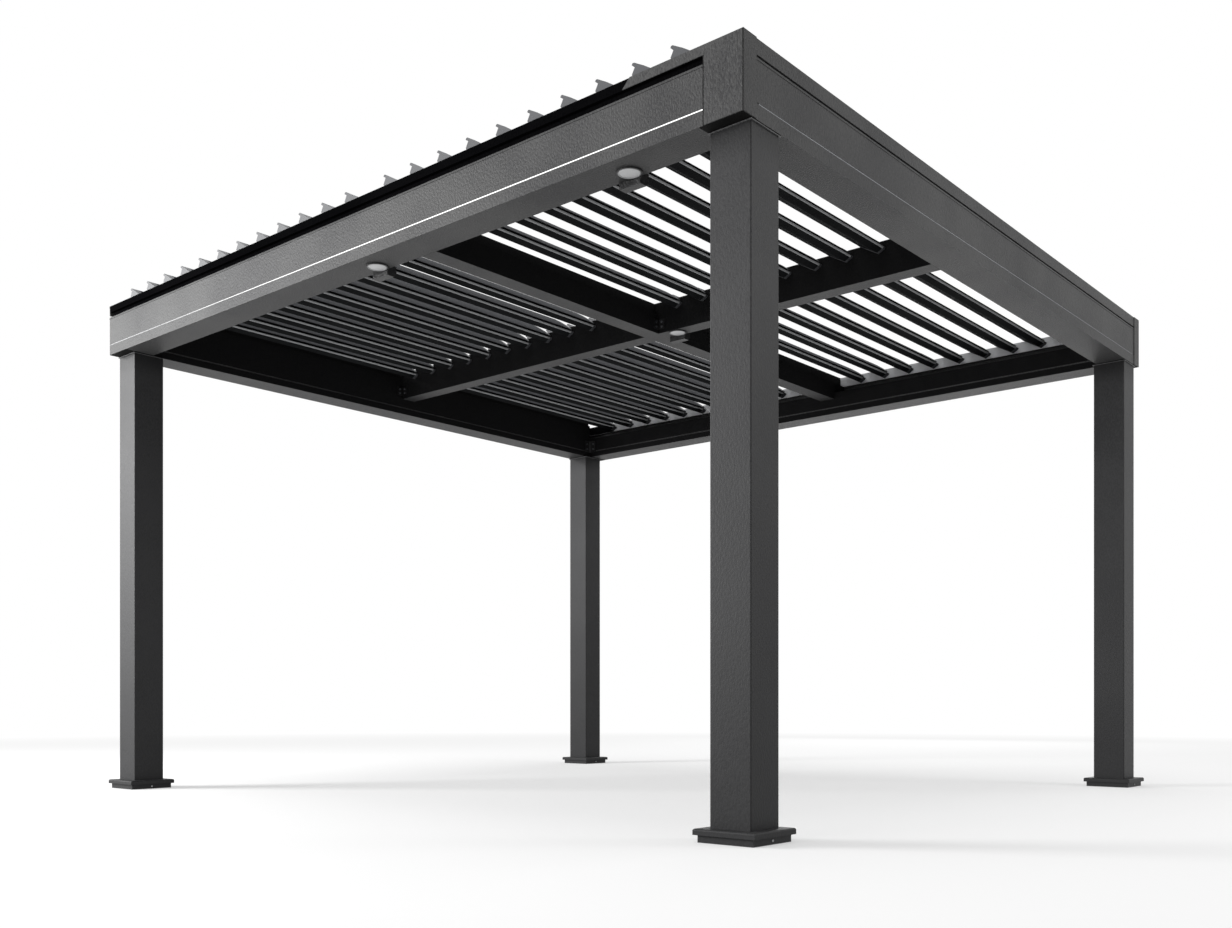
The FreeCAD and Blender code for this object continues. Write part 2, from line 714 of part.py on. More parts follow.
def make_louvre(line):
    body = new_body(f"louvre_{line:02d}")
    profile = sketch_on(body, "profile", "XZ_Plane")
    draw_outline(profile, [
        (LIP_END, "(blade_rise + blade_lip_top)"),
        (f"({LIP_END} + blade_nose_run)", "(blade_rise + blade_nose)"),
        (f"({LIP_ROOT} + blade_ridge_run)", "(blade_rise + blade_ridge)"),
        (f"({LIP_ROOT} + blade_crown_run)", "(blade_rise + blade_crown)"),
        (TROUGH_ROOT, "(blade_rise + blade_shoulder)"),
        (TROUGH_ROOT, TROUGH_LEVEL),
        (f"({TROUGH_END} - blade_skin - blade_hopper_foot)", TROUGH_LEVEL),
        (f"({TROUGH_END} - blade_skin)", HOPPER_LEVEL),
        (f"({TROUGH_END} - blade_skin)", RIM_LEVEL),
        (TROUGH_END, RIM_LEVEL),
        (TROUGH_END, HOPPER_LEVEL),
        (f"({TROUGH_END} - blade_hopper_run)", BELLY_LEVEL),
        (KEEL_START, BELLY_LEVEL),
        (LIP_ROOT, KEEL_LEVEL),
        (LIP_ROOT, LIP_UNDER),
        (LIP_END, LIP_UNDER),
    ])
    pad(body, profile, f"2 * {BLADE_OUT}", "Symmetric")
    field_gap = sketch_on(body, "field_gap", "XY_Plane")
    draw_rectangle(
        field_gap,
        f"{LIP_END} - 1",
        f"-{BLADE_IN}",
        f"{TROUGH_END} + 1",
        BLADE_IN,
    )
    pocket(body, field_gap, side="Symmetric")
    chamber_left = f"({LIP_ROOT} + blade_skin)"
    chamber_right = f"({TROUGH_ROOT} - blade_skin)"
    for field, backwards in (("front", False), ("back", True)):
        sign = "" if field == "front" else "-"
        start = f"{sign}({BLADE_IN} + blade_cap)"
        chamber = sketch_on(body, f"chamber_{field}", "XZ_Plane", start)
        draw_outline(chamber, [
            (chamber_left, LIP_UNDER),
            (chamber_left, f"({KEEL_LEVEL} + blade_skin / 2)"),
            (f"({KEEL_START} + blade_skin / 2)", CHAMBER_FLOOR),
            (chamber_right, CHAMBER_FLOOR),
            (chamber_right, LIP_UNDER),
        ])
        depth = f"{BLADE_OUT} - {BLADE_IN} - 2 * blade_cap"
        pocket(body, chamber, depth, backwards=not backwards)
        weep = sketch_on(body, f"weep_{field}", "XZ_Plane", start)
        weep_start = f"({KEEL_START} + weep_width)"
        draw_rectangle(
            weep,
            weep_start,
            CHAMBER_FLOOR,
            f"({weep_start} + weep_width)",
            f"({CHAMBER_FLOOR} + weep_height)",
        )
        pocket(body, weep, backwards=not backwards)
    shaft = sketch_on(body, "shaft", "XZ_Plane")
    draw_circle(shaft, "0", "0", "pin_radius")
    pad(body, shaft, f"2 * ({BLADE_IN} + blade_cap)", "Symmetric")
    for field, backwards in (("front", False), ("back", True)):
        sign = "" if field == "front" else "-"
        pin = sketch_on(body, f"pin_{field}", "XZ_Plane", f"{sign}({BLADE_OUT} - blade_cap)")
        draw_prism(pin, "0", "pin_radius", "pin_sides")
        pad(body, pin, f"{PIN_END} - {BLADE_OUT} + blade_cap", backwards=backwards)
    body.Placement = FreeCAD.Placement(
        FreeCAD.Vector(0, 0, 0), FreeCAD.Rotation(FreeCAD.Vector(0, 1, 0), number("rest_tilt"))
    )
    body.setExpression("Placement.Base.x", bound(pivot_x(line)))
    body.setExpression("Placement.Base.z", bound(PIVOT_LEVEL))
    body.setExpression("Placement.Rotation.Angle", bound("rest_tilt"))
    return body


nodes = []
for side in SIDES:
    nodes.append(make_beam(side))
    nodes.append(make_rail(side))
nodes.append(make_centre_beam())
for side in ("front", "back"):
    nodes.append(make_cross_beam(side))
for corner in CORNERS:
    nodes.append(make_post(corner))
nodes.append(make_at_corners("post_collars", build_collar))
nodes.append(make_at_corners("base_skirts", build_skirt))
nodes.append(make_corner_covers())
nodes.append(make_end_lips())
nodes.append(make_light_strip())
nodes.append(make_spots())
nodes.append(make_cleats())
for line in range(1, LINES + 1):
    nodes.append(make_louvre(line))
doc.recompute()

# Every object has to be sound before anything is written
for item in doc.Objects:
    if "Invalid" in item.State or "Error" in item.State:
        raise ValueError(f"{item.Label} failed: {item.State}")
for node in nodes:
    if node.Shape.isNull() or not node.Shape.isValid():
        raise ValueError(f"{node.Label} has no sound shape")

os.makedirs("parts", exist_ok=True)
for node in nodes:
    node.Shape.exportStep(f"parts/{node.Label}.step")
    print(f"{node.Label}: {len(node.Shape.Solids)} solids, {node.Shape.Volume / 1000:.0f} cm3")
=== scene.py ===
import math

import bpy
from mathutils import Matrix, Vector


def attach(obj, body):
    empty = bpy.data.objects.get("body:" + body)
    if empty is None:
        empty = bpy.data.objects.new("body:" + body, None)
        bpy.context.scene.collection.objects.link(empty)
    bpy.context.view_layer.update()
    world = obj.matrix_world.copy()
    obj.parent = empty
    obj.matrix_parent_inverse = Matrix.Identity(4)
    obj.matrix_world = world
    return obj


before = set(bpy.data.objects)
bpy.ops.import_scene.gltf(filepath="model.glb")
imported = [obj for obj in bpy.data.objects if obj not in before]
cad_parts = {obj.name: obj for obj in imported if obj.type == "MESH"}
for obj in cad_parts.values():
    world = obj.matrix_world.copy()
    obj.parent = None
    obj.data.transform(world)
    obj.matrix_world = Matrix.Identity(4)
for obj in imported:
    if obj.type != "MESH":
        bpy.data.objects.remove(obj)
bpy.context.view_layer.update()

# Posts: square tubes of extruded aluminium, cut to length and powder coated in
# an oven. The coat is anthracite with a fine orange-peel skin, so it shines
# softly and never mirrors. Each tube stands on a welded foot plate.


def linear(shade):
    """Turn an sRGB hex colour into the linear colour that a shader takes."""
    channels = [int(shade[place:place + 2], 16) / 255 for place in (1, 3, 5)]
    return [((value + 0.055) / 1.055) ** 2.4 if value > 0.04045 else value / 12.92 for value in channels] + [1]


def add(tree, kind, links=None, **settings):
    """Add a node: links gives its sockets a value or the output of another node."""
    node = tree.nodes.new(kind)
    for name, value in settings.items():
        setattr(node, name, value)
    for socket, value in (links or {}).items():
        if isinstance(value, bpy.types.NodeSocket):
            tree.links.new(value, node.inputs[socket])
        else:
            node.inputs[socket].default_value = value
    return node


def new_finish(name):
    finish = bpy.data.materials.new(name)
    finish.use_nodes = True
    finish.node_tree.nodes.clear()
    return finish, finish.node_tree


def powder_coat(name, dark, light, roughness, shine, relief=0.0025, painted_zone=None, shade="#0d0d0e"):
    """Polyester powder coat: clouds of tone a hand wide over an orange-peel skin.

    Relief is how deep the peel looks, in metres. The zone argument gives half sizes in X and Y
    and a level: within them and above that level the piece takes the other colour, which is
    painted shade where it is dark and painted light where it is pale.
    """
    finish, tree = new_finish(name)
    place = add(tree, "ShaderNodeTexCoord").outputs["Object"]
    # tone drifts over about 400 mm, as the coat's thickness does
    cloud = add(tree, "ShaderNodeTexNoise", {"Vector": place, "Scale": 1 / 0.4, "Detail": 2})
    # the peel is 1 to 2 mm wide; it is drawn 6 mm wide and 10 mm long so that it shows
    upright = add(tree, "ShaderNodeMapping", {"Vector": place, "Scale": (1 / 0.006, 1 / 0.006, 1 / 0.010)})
    peel = add(tree, "ShaderNodeTexNoise", {"Vector": upright.outputs[0], "Scale": 1, "Detail": 2})
    tone = add(tree, "ShaderNodeMath", {0: cloud.outputs[0], 1: peel.outputs[0]}, operation="ADD")
    ramp = add(tree, "ShaderNodeMapRange", {"Value": tone.outputs[0], "From Min": 0.85, "From Max": 1.15})
    colour = add(tree, "ShaderNodeMix", {0: ramp.outputs[0], 6: linear(dark), 7: linear(light)}, data_type="RGBA")
    gloss = add(tree, "ShaderNodeMapRange", {
        "Value": peel.outputs[0], "From Min": 0.3, "From Max": 0.7,
        "To Min": roughness - 0.05, "To Max": roughness + 0.05,
    })
    # painted light and shade: in the zone the other colour replaces the coat's own
    if painted_zone:
        half_x, half_y, level = painted_zone
        split = add(tree, "ShaderNodeSeparateXYZ", {0: place})
        in_painted_zone = add(tree, "ShaderNodeMath", {0: split.outputs["Z"], 1: level}, operation="GREATER_THAN")
        for axis, half in (("X", half_x), ("Y", half_y)):
            within = add(tree, "ShaderNodeMath", {0: split.outputs[axis], 1: 0.0, 2: half}, operation="COMPARE")
            in_painted_zone = add(tree, "ShaderNodeMath", {0: in_painted_zone.outputs[0], 1: within.outputs[0]}, operation="MULTIPLY")
        colour = add(tree, "ShaderNodeMix", {0: in_painted_zone.outputs[0], 6: colour.outputs[2], 7: linear(shade)},
                     data_type="RGBA")
        gloss = add(tree, "ShaderNodeMapRange", {
            "Value": in_painted_zone.outputs[0], "To Min": gloss.outputs[0], "To Max": 0.9,
        })
    skin = add(tree, "ShaderNodeBump", {"Height": peel.outputs[0], "Distance": relief, "Strength": 0.9})
    shader = add(tree, "ShaderNodeBsdfPrincipled", {
        "Base Color": colour.outputs[2],
        "Roughness": gloss.outputs[0],
        "Normal": skin.outputs[0],
        "Specular IOR Level": shine,
    })
    add(tree, "ShaderNodeOutputMaterial", {"Surface": shader.outputs[0]})
    return finish


def wear(nodes, finish):
    """Give carried-over pieces their finish."""
    for node in nodes:
        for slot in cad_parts[node].material_slots:
            slot.material = finish


def shader_of(finish):
    return next(node for node in finish.node_tree.nodes if node.type == "BSDF_PRINCIPLED")


def overlay(finish, share, shade):
    """Lay another shade over a finish's colour, as strongly as the share says."""
    tree = finish.node_tree
    base = shader_of(finish).inputs["Base Color"]
    under = base.links[0].from_socket
    colour = add(tree, "ShaderNodeMix", {0: share.outputs[0], 6: under, 7: linear(shade)}, data_type="RGBA")
    tree.links.new(colour.outputs[2], base)


post_coat = powder_coat("post_powder_coat", "#323233", "#3a3a3b", 0.5, 0.16, relief=0.0008)
post_tree = post_coat.node_tree
post_place = add(post_tree, "ShaderNodeTexCoord").outputs["Object"]
post_split = add(post_tree, "ShaderNodeSeparateXYZ", {0: post_place})
# painted shade: the top 120 mm, under the beam, is darkened where the beam's shade falls
painted_shade_under_beam = add(post_tree, "ShaderNodeMapRange", {
    "Value": post_split.outputs["Z"], "From Min": 2.10, "From Max": 2.225, "To Max": 0.7,
}, interpolation_type="SMOOTHSTEP")
# the lower part is darker too, more so towards the ground
darker_towards_ground = add(post_tree, "ShaderNodeMapRange", {
    "Value": post_split.outputs["Z"], "From Min": 1.7, "From Max": 0.2, "To Max": 0.45,
})
shade_and_low_darkening = add(post_tree, "ShaderNodeMath", {0: painted_shade_under_beam.outputs[0], 1: darker_towards_ground.outputs[0]}, operation="MAXIMUM")
overlay(post_coat, shade_and_low_darkening, "#161617")
wear([f"{corner}_post" for corner in ("front_right", "front_left", "back_left", "back_right")], post_coat)

# Base skirts: two-part pressed covers pushed around each foot and held by two
# small screws, powder coated with the posts. Their lip has a rounded edge that
# catches a soft light.
wear(["base_skirts"], post_coat)


def slab(outline, levels):
    """Stack copies of a flat outline, drawn anticlockwise, into a closed shape.

    Each level is a height and how far the outline draws in there.
    """
    points = [Vector(point) for point in outline]
    draws = []
    for place, point in enumerate(points):
        before = (point - points[place - 1]).normalized()
        after = (points[(place + 1) % len(points)] - point).normalized()
        inward = Vector((-before.y - after.y, before.x + after.x))
        draws.append(inward / (1 + before.dot(after)))
    corners = []
    for height, inset in levels:
        for point, draw in zip(points, draws):
            corners.append((point.x + draw.x * inset, point.y + draw.y * inset, height))
    count = len(points)
    last = len(corners) - count
    faces = [tuple(reversed(range(count))), tuple(range(last, last + count))]
    for base in range(0, last, count):
        for place in range(count):
            following = (place + 1) % count
            faces.append((base + place, base + following, base + count + following, base + count + place))
    return corners, faces


def round_outline(radius, sides):
    angles = [math.tau * step / sides for step in range(sides)]
    return [(radius * math.cos(angle), radius * math.sin(angle)) for angle in angles]


def box_outline(first_x, first_y, second_x, second_y):
    """A rectangle between two opposite corners, given in any order."""
    low_x, high_x = sorted((first_x, second_x))
    low_y, high_y = sorted((first_y, second_y))
    return [(low_x, low_y), (high_x, low_y), (high_x, high_y), (low_x, high_y)]


def set_at(shape, place, facing=(0, 0, 1), turn=0.0):
    """Turn a shape so that its top faces that way, and set its bottom at the place."""
    spin = Vector(facing).to_track_quat("Z", "Y").to_matrix().to_4x4() @ Matrix.Rotation(turn, 4, "Z")
    move = Matrix.Translation(Vector(place)) @ spin
    return [tuple(move @ Vector(corner)) for corner in shape[0]], shape[1]


def fit(name, shapes, finish, body="frame"):
    """Join shapes in one piece, with its finish, on the body that carries it."""
    corners = []
    faces = []
    for shape_corners, shape_faces in shapes:
        faces += [tuple(index + len(corners) for index in face) for face in shape_faces]
        corners += shape_corners
    mesh = bpy.data.meshes.new(name)
    mesh.from_pydata(corners, [], faces)
    mesh.materials.append(finish)
    mesh.shade_smooth()
    mesh.set_sharp_from_angle(angle=math.radians(35))
    piece = bpy.data.objects.new(name, mesh)
    bpy.context.collection.objects.link(piece)
    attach(piece, body)


def turned_metal(name, dark, light, roughness):
    """Bare metal that a tool has turned or pressed: fine streaks and a dull sheen."""
    finish, tree = new_finish(name)
    place = add(tree, "ShaderNodeTexCoord").outputs["Object"]
    # tool marks are 0.1 mm apart; they are drawn 1.5 mm apart so that they show
    streak = add(tree, "ShaderNodeTexNoise", {"Vector": place, "Scale": 1 / 0.0015, "Detail": 3})
    colour = add(tree, "ShaderNodeMix", {0: streak.outputs[0], 6: linear(dark), 7: linear(light)}, data_type="RGBA")
    gloss = add(tree, "ShaderNodeMapRange", {
        "Value": streak.outputs[0], "To Min": roughness - 0.08, "To Max": roughness + 0.08,
    })
    skin = add(tree, "ShaderNodeBump", {"Height": streak.outputs[0], "Distance": 0.0002, "Strength": 0.4})
    shader = add(tree, "ShaderNodeBsdfPrincipled", {
        "Base Color": colour.outputs[2],
        "Metallic": 1.0,
        "Roughness": gloss.outputs[0],
        "Normal": skin.outputs[0],
    })
    add(tree, "ShaderNodeOutputMaterial", {"Surface": shader.outputs[0]})
    return finish


stainless = turned_metal("stainless_steel", "#8e8f90", "#b9babb", 0.35)
POST_X = 1.8885
POST_Y = 1.7135
CORNERS = [(1, -1), (-1, -1), (-1, 1), (1, 1)]
SKIRT_HALF = 0.1055
SKIRT_SCREW_LEVEL = 0.012
SKIRT_SCREW_RADIUS = 0.004


def pan_head(radius):
    """A pan head screw: a low dome with a rounded rim and a hexagon drive."""
    dome = slab(round_outline(radius, 18), [
        (0, 0), (radius * 0.35, 0), (radius * 0.55, radius * 0.15), (radius * 0.62, radius * 0.4),
        (radius * 0.62, radius * 0.5),
    ])
    drive = slab(round_outline(radius * 0.5, 6), [
        (radius * 0.45, 0), (radius * 0.621, 0), (radius * 0.62, radius * 0.06),
    ])
    return [dome, drive]


screws = []
for side_x, side_y in CORNERS:
    for sign in (-1, 1):
        place = (side_x * POST_X + sign * SKIRT_HALF, side_y * POST_Y, SKIRT_SCREW_LEVEL)
        screws += [set_at(shape, place, (sign, 0, 0)) for shape in pan_head(SKIRT_SCREW_RADIUS)]
fit("skirt_screws", screws, stainless)

# Post collars: thin plates screwed on the posts, on which the beams land with a
# shadow gap. A black rubber pad round each neck keeps water out of the joint; its
# black also paints in the shade that falls under each corner of the beams.
# painted highlight: the collars are coated lighter than the posts so that the plate's edge shows as a lit line
collar_coat_painted_highlight = powder_coat("collar_powder_coat", "#4b4b4c", "#5b5b5c", 0.5, 0.3)
wear(["post_collars"], collar_coat_painted_highlight)


def rubber(name, dark, light):
    """Moulded rubber: matt, with a faint bloom in patches."""
    finish, tree = new_finish(name)
    place = add(tree, "ShaderNodeTexCoord").outputs["Object"]
    # bloom lies in patches about 30 mm wide
    bloom = add(tree, "ShaderNodeTexNoise", {"Vector": place, "Scale": 1 / 0.03, "Detail": 4})
    colour = add(tree, "ShaderNodeMix", {0: bloom.outputs[0], 6: linear(dark), 7: linear(light)}, data_type="RGBA")
    gloss = add(tree, "ShaderNodeMapRange", {"Value": bloom.outputs[0], "To Min": 0.7, "To Max": 0.85})
    # the mould's grain is 0.2 mm; it is drawn 2 mm wide so that it shows
    grain = add(tree, "ShaderNodeTexNoise", {"Vector": place, "Scale": 1 / 0.002, "Detail": 1})
    skin = add(tree, "ShaderNodeBump", {"Height": grain.outputs[0], "Distance": 0.0002, "Strength": 0.5})
    shader = add(tree, "ShaderNodeBsdfPrincipled", {
        "Base Color": colour.outputs[2],
        "Roughness": gloss.outputs[0],
        "Normal": skin.outputs[0],
        "Specular IOR Level": 0.1,
    })
    add(tree, "ShaderNodeOutputMaterial", {"Surface": shader.outputs[0]})
    return finish


black_rubber = rubber("epdm_rubber", "#070707", "#101010")
POST_HALF = 0.078
COLLAR_EDGE = 0.005
UNDERSIDE = 2.230
BEAM_X = 1.9715
BEAM_Y = 1.8415
PAD_SETBACK = 0.0005
PAD_THICKNESS = 0.0012
PAD_ROUND = 0.0003
# the pads' black stands in partly for the shade under the corners of the beams
pads = []
for side_x, side_y in CORNERS:
    outline = box_outline(
        side_x * (POST_X - POST_HALF - COLLAR_EDGE), side_y * (POST_Y - POST_HALF - COLLAR_EDGE),
        side_x * (BEAM_X - PAD_SETBACK), side_y * (BEAM_Y - PAD_SETBACK),
    )
    pads.append(slab(outline, [
        (UNDERSIDE - PAD_THICKNESS, 0.0004), (UNDERSIDE - PAD_THICKNESS + PAD_ROUND, 0), (UNDERSIDE, 0),
    ]))
fit("corner_pads", pads, black_rubber)

# Perimeter beams: gutter extrusions with a flat fascia, mitred and bolted at the
# corners over cast brackets. The sides that look into the room are painted near black: painted shade, as the roof
# shades them.
INNER_X = 1.8215
INNER_Y = 1.6915
# the inner faces take the painted shade, and 1 mm more
ROOM_X = INNER_X + 0.001
ROOM_Y = INNER_Y + 0.001
ANTHRACITE = ("#373738", "#494949", 0.5, 0.16)
beam_coat = powder_coat("beam_powder_coat", *ANTHRACITE, painted_zone=(ROOM_X, ROOM_Y, 0.0))
wear(["front_beam", "back_beam", "left_beam", "right_beam"], beam_coat)
anthracite = powder_coat("anthracite_powder_coat", *ANTHRACITE)
wear(["left_rail", "right_rail"], anthracite)
cast_black = powder_coat("cast_aluminium_coated", "#101011", "#1b1b1c", 0.5, 0.4)
zinc = turned_metal("zinc_plated_steel", "#55565a", "#7c7e82", 0.4)
BRACKET_LOW = 2.262
BRACKET_HIGH = 2.342
BRACKET_LEG = 0.055
BRACKET_THICKNESS = 0.005
BRACKET_FILLET = 0.008
BRACKET_ROUND = 0.0015
BRACKET_HOLE = 0.036
BRACKET_HOLE_INSET = 0.022
BOLT_ACROSS = 0.010


def bolt(across):
    """A hexagon bolt head with a chamfered crown on its washer."""
    washer = slab(round_outline(across * 0.62, 20), [(0, 0.0002), (0.0002, 0), (0.0012, 0), (0.0014, 0.0003)])
    head = slab(round_outline(across / math.sqrt(3), 6), [
        (0.0014, 0), (0.0014 + across * 0.34, 0), (0.0014 + across * 0.4, across * 0.07),
    ])
    return [washer, head]


brackets = []
bracket_bolts = []
for side_x, side_y in CORNERS:
    corner_x = side_x * INNER_X
    corner_y = side_y * INNER_Y
    leg = BRACKET_LEG
    thick = BRACKET_THICKNESS
    fillet = thick + BRACKET_FILLET
    outline = [(0, 0), (leg, 0), (leg, thick), (fillet, thick), (thick, fillet), (thick, leg), (0, leg)]
    outline = [(corner_x - side_x * x, corner_y - side_y * y) for x, y in outline]
    if side_x * side_y < 0:
        outline.reverse()
    brackets.append(slab(outline, [
        (BRACKET_LOW, BRACKET_ROUND), (BRACKET_LOW + BRACKET_ROUND, 0),
        (BRACKET_HIGH - BRACKET_ROUND, 0), (BRACKET_HIGH, BRACKET_ROUND),
    ]))
    # the bolts are tightened to different turns
    for level in (BRACKET_LOW + BRACKET_HOLE_INSET, BRACKET_HIGH - BRACKET_HOLE_INSET):
        on_y = (corner_x - side_x * BRACKET_HOLE, corner_y - side_y * thick, level)
        on_x = (corner_x - side_x * thick, corner_y - side_y * BRACKET_HOLE, level)
        bracket_bolts += [set_at(shape, on_y, (0, -side_y, 0), 0.3) for shape in bolt(BOLT_ACROSS)]
        bracket_bolts += [set_at(shape, on_x, (-side_x, 0, 0), 0.7) for shape in bolt(BOLT_ACROSS)]
fit("corner_brackets", brackets, cast_black)
fit("corner_bracket_bolts", bracket_bolts, zinc)

# Groove fillers: dull anodised strips pressed in the light groove of the three
# sides that carry no light. They show as a pale line near the covered corner.
anodised = turned_metal("anodised_aluminium", "#747578", "#88898c", 0.6)
GROOVE_MIDDLE = 2.281
GROOVE_HALF_HEIGHT = 0.0015
GROOVE_DEPTH = 0.0014
FILLER_RIGHT_HALF = 1.755
FILLER_HALF = 1.82
fillers = []
for half_run, face, facing in (
    (FILLER_RIGHT_HALF, BEAM_X, (1, 0)), (FILLER_HALF, BEAM_X, (-1, 0)), (FILLER_HALF, BEAM_Y, (0, 1)),
):
    half_x, half_y = (GROOVE_HALF_HEIGHT, half_run) if facing[0] else (half_run, GROOVE_HALF_HEIGHT)
    bar, faces = slab(box_outline(-half_x, -half_y, half_x, half_y), [
        (0, 0), (GROOVE_DEPTH - 0.0006, 0), (GROOVE_DEPTH - 0.0002, 0.0004),
    ])
    # the flat bar is stood up in the groove, with its thickness outwards
    corners = []
    for x, y, z in bar:
        out = sum(facing) * (face - GROOVE_DEPTH + z)
        corners.append((out, y, GROOVE_MIDDLE + x) if facing[0] else (x, out, GROOVE_MIDDLE + y))
    if sum(facing) > 0:
        faces = [tuple(reversed(face)) for face in faces]
    fillers.append((corners, faces))
fit("groove_fillers", fillers, anodised)

# Long rails: the black extrusions that close the front and back fascia; their near-black coat also paints in the
# shade of the recess over the fascia. Their inner web, which carries the bushes of the blades, is painted pale, as
# painted light from between the blades, but for its ends, which stay black.
RAIL_WEB = 1.8195
PAINTED_LIGHT_HALF = 1.70
black = powder_coat(
    "black_powder_coat", "#070708", "#0b0b0c", 0.6, 0.0, painted_zone=(PAINTED_LIGHT_HALF, RAIL_WEB, 0.0), shade="#dedfe1",
)
wear(["front_rail", "back_rail"], black)

# Centre beam and cross beams: box extrusions hung between the gutters on angle
# cleats with two bolts in each leg. Their sides are painted near black, painted shade
# as on the gutters, and their undersides keep the anthracite.
INNER_UNDERSIDE = 2.322
# half a size that reaches past every beam, so that all above the undersides takes the painted shade
ALL_BEAMS = 3.0
inner_coat = powder_coat("inner_powder_coat", *ANTHRACITE, painted_zone=(ALL_BEAMS, ALL_BEAMS, INNER_UNDERSIDE + 0.0005))
wear(["centre_beam", "cross_beam_front", "cross_beam_back"], inner_coat)
wear(["beam_cleats"], cast_black)
CLEAT_LOW = 2.342
CLEAT_THICKNESS = 0.004
CLEAT_HOLE = 0.024
CLEAT_HOLE_LEVELS = (CLEAT_LOW + 0.012, CLEAT_LOW + 0.036)
CENTRE_HALF = 0.045
CROSS_LEFT = 0.1154
CROSS_RIGHT = 0.2074
cleat_bolts = []
for corner_x, corner_y, side_x, side_y in [
    (sign * INNER_X, side * CENTRE_HALF, -sign, side) for sign in (-1, 1) for side in (-1, 1)
] + [
    (x, side * CENTRE_HALF, way, side) for x, way in ((CROSS_LEFT, -1), (CROSS_RIGHT, 1)) for side in (-1, 1)
]:
    for level in CLEAT_HOLE_LEVELS:
        along = (corner_x + side_x * CLEAT_HOLE, corner_y + side_y * CLEAT_THICKNESS, level)
        across = (corner_x + side_x * CLEAT_THICKNESS, corner_y + side_y * CLEAT_HOLE, level)
        cleat_bolts += [set_at(shape, along, (0, side_y, 0), 0.2) for shape in bolt(BOLT_ACROSS)]
        cleat_bolts += [set_at(shape, across, (side_x, 0, 0), 0.5) for shape in bolt(BOLT_ACROSS)]
fit("cleat_bolts", cleat_bolts, zinc)

# Wall seal: a rubber fin clipped on the left gutter's inner wall, which shuts the
# slit under the first blade.
WALL_TOP = 2.455
FIN_TOP = 2.470
# its outline in X and Z: a clip over the wall's top edge, with a fin that leans out
fin = [
    (-1.8205, WALL_TOP - 0.008), (-1.8205, WALL_TOP + 0.0015), (-1.8250, WALL_TOP + 0.0025),
    (-1.8268, FIN_TOP), (-1.8285, FIN_TOP), (-1.8275, WALL_TOP - 0.008), (-1.8246, WALL_TOP - 0.008),
    (-1.8246, WALL_TOP), (-1.8214, WALL_TOP), (-1.8214, WALL_TOP - 0.008),
]
SEAL_HALF = 1.68
fin_corners = [(x, -SEAL_HALF, z) for x, z in fin] + [(x, SEAL_HALF, z) for x, z in fin]
count = len(fin)
fin_faces = [tuple(range(count)), tuple(reversed(range(count, 2 * count)))]
fin_faces += [(place, place + count, (place + 1) % count + count, (place + 1) % count) for place in range(count)]
fit("left_wall_seal", [(fin_corners, fin_faces)], black_rubber)

# Louvre blades: hollow extrusions with pressed-in end caps, coated darker than
# the frame. Each turns on steel pins in nylon bushes.
blade_coat = powder_coat("blade_powder_coat", "#131415", "#1d1e1f", 0.75, 0.05)
REST_TILT = math.radians(30)
# painted light: the side of each blade that faces up is lightened to anthracite, as light from above shows it; the
# underside keeps the nearly black coat
blade_place = add(blade_coat.node_tree, "ShaderNodeTexCoord")
blade_up = add(blade_coat.node_tree, "ShaderNodeVectorMath", {
    0: blade_place.outputs["Normal"], 1: (math.sin(REST_TILT), 0, math.cos(REST_TILT)),
}, operation="DOT_PRODUCT")
painted_lit_side = add(blade_coat.node_tree, "ShaderNodeMath", {0: blade_up.outputs["Value"], 1: 0.4},
                   operation="GREATER_THAN")
overlay(blade_coat, painted_lit_side, "#3a3b3e")
BLADES = sorted(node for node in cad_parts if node.startswith("louvre"))
wear(BLADES, blade_coat)

# Blade sleeves: moulded grey caps that wrap the ends of each blade, just wider
# than the extrusion, and show above the front rim as a row of crests.


def moulded(name, dark, light, roughness):
    """Injection-moulded plastic: even colour with a faint spark-eroded grain."""
    finish, tree = new_finish(name)
    place = add(tree, "ShaderNodeTexCoord").outputs["Object"]
    # the mould's grain is 0.3 mm; it is drawn 3 mm wide so that it shows
    grain = add(tree, "ShaderNodeTexNoise", {"Vector": place, "Scale": 1 / 0.003, "Detail": 2})
    colour = add(tree, "ShaderNodeMix", {0: grain.outputs[0], 6: linear(dark), 7: linear(light)}, data_type="RGBA")
    gloss = add(tree, "ShaderNodeMapRange", {
        "Value": grain.outputs[0], "To Min": roughness - 0.06, "To Max": roughness + 0.06,
    })
    skin = add(tree, "ShaderNodeBump", {"Height": grain.outputs[0], "Distance": 0.0002, "Strength": 0.4})
    shader = add(tree, "ShaderNodeBsdfPrincipled", {
        "Base Color": colour.outputs[2],
        "Roughness": gloss.outputs[0],
        "Normal": skin.outputs[0],
    })
    add(tree, "ShaderNodeOutputMaterial", {"Surface": shader.outputs[0]})
    return finish


cap_grey = moulded("grey_polyamide", "#3c3d40", "#4a4b4e", 0.55)
PITCH = 0.16140909
LINES_LEFT = 12
CROSS_WIDTH = CROSS_RIGHT - CROSS_LEFT
PIVOT_LEVEL = 2.465
BLADE_OUT = 1.8115
BLADE_IN = 0.051
